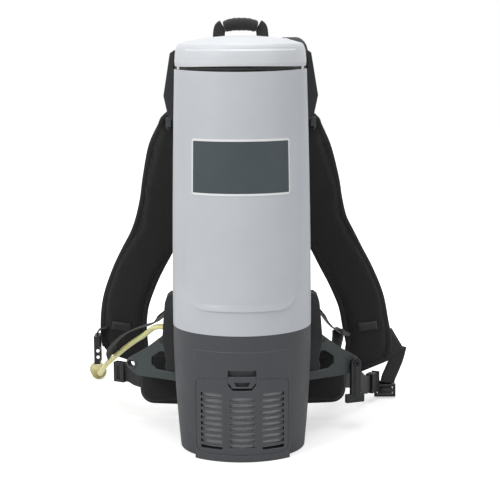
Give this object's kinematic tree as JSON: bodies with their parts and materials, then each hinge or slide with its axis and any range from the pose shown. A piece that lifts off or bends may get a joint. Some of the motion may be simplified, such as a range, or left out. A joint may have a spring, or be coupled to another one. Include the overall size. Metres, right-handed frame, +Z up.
{
  "type": "backpack vacuum cleaner",
  "caption": "Backpack vacuum cleaner: round dust tank with lift-off lid over a motor base with a louvred filter door, on a moulded back frame with padded harness.",
  "frame": {"origin": "centre of the base on the surface it stands on, on the axis of the tank", "axes": "+Z up, the louvred filter door faces -Y, the wearer stands on the +Y side"},
  "size_m": [0.5114, 0.5086, 0.59],
  "materials": {
    "shell_grey": "satin moulded",
    "base_grey": "satin moulded",
    "slate": "fine moulded grain",
    "frame_black": "moulded grain",
    "seal_rubber": "matt",
    "bag_paper": "filter paper",
    "filter_media": "non-woven fibre",
    "steel": "stamped",
    "aluminium": "cast and pressed",
    "brush_brass": "pressed",
    "pad_fabric": "woven over foam",
    "webbing": "ribbed weave",
    "buckle_black": "acetal",
    "lead_pvc": "soft vinyl",
    "plug_vinyl": "translucent vinyl",
    "rocker_red": "gloss"
  },
  "bodies": {
    "machine": {"tank_shell": "shell_grey", "base_housing": "base_grey", "bottom_cover": "base_grey", "cover_screws": "steel", "motor_deck": "base_grey", "deck_gasket": "seal_rubber", "rim_gasket": "seal_rubber", "filter_bag": "bag_paper", "bag_collar": "bag_paper", "motor_prefilter": "filter_media", "fan_housing": "aluminium", "field_core": "steel", "motor_frame": "aluminium", "motor_bearings": "steel", "brush_holders": "brush_brass", "motor_mount": "seal_rubber", "switch_bezel": "frame_black", "strain_relief": "lead_pvc", "power_cord": "lead_pvc", "cord_plug": "plug_vinyl", "back_frame": "frame_black", "frame_screws": "steel", "hip_bracket_left": "slate", "hip_bracket_right": "slate", "bracket_screws": "steel", "back_pad": "pad_fabric", "lumbar_pad": "pad_fabric", "shoulder_pad_left": "pad_fabric", "shoulder_pad_right": "pad_fabric", "lifter_webbing_left": "webbing", "lifter_webbing_right": "webbing", "lifter_slides": "buckle_black", "lower_webbing_left": "webbing", "lower_webbing_right": "webbing", "adjuster_webbing_left": "webbing", "adjuster_webbing_right": "webbing", "waist_webbing_left": "webbing", "waist_webbing_right": "webbing", "waist_buckle_left": "buckle_black", "waist_buckle_right": "buckle_black", "handle_webbing": "webbing", "handle_grip": "pad_fabric"},
    "lid": {"lid_shell": "shell_grey"},
    "hose_cuff": {"hose_swivel": "frame_black"},
    "door": {"filter_door": "base_grey", "exhaust_filter": "filter_media"},
    "latch": {"door_latch": "base_grey"},
    "rotor": {"armature_shaft": "steel", "impeller": "aluminium"},
    "switch_rocker": {"rocker": "rocker_red"},
    "hook": {"cord_hook": "frame_black", "hook_pin": "steel"},
    "lock_left": {"ladder_lock_left": "buckle_black"},
    "lock_right": {"ladder_lock_right": "buckle_black"}
  },
  "joints": [
    {"name": "lid_lift", "type": "slide", "parent": "machine", "child": "lid", "axis": [0, 0, 1], "range_m": [0, 0.06]},
    {"name": "hose_turn", "type": "hinge", "parent": "lid", "child": "hose_cuff", "pos_m": [0.05878, 0.0809, 0.541], "axis": [0.5878, 0.809, 0], "continuous": true},
    {"name": "door_pull", "type": "slide", "parent": "machine", "child": "door", "axis": [0, -1, 0], "range_m": [0, 0.04]},
    {"name": "latch_press", "type": "slide", "parent": "door", "child": "latch", "axis": [0, 0, -1], "range_m": [0, 0.003], "stiffness_N_per_m": 300},
    {"name": "fan_spin", "type": "hinge", "parent": "machine", "child": "rotor", "pos_m": [0, 0, 0.084], "axis": [0, 0, 1], "continuous": true},
    {"name": "switch_rock", "type": "hinge", "parent": "machine", "child": "switch_rocker", "pos_m": [0.07935, 0.037, 0.048], "axis": [-0.4226, 0.9063, 0], "range_deg": [-8, 8]},
    {"name": "hook_swing", "type": "hinge", "parent": "machine", "child": "hook", "pos_m": [0.16119, 0.07772, 0.096], "axis": [-0.3746, 0.9272, 0], "range_deg": [-30, 30]},
    {"name": "lock_left_tilt", "type": "hinge", "parent": "machine", "child": "lock_left", "pos_m": [-0.227, 0.24, 0.1043], "axis": [0, 1, 0], "range_deg": [-5, 15]},
    {"name": "lock_right_tilt", "type": "hinge", "parent": "machine", "child": "lock_right", "pos_m": [0.2235, 0.243, 0.0223], "axis": [1, 0, 0], "range_deg": [-12, 12]}
  ]
}
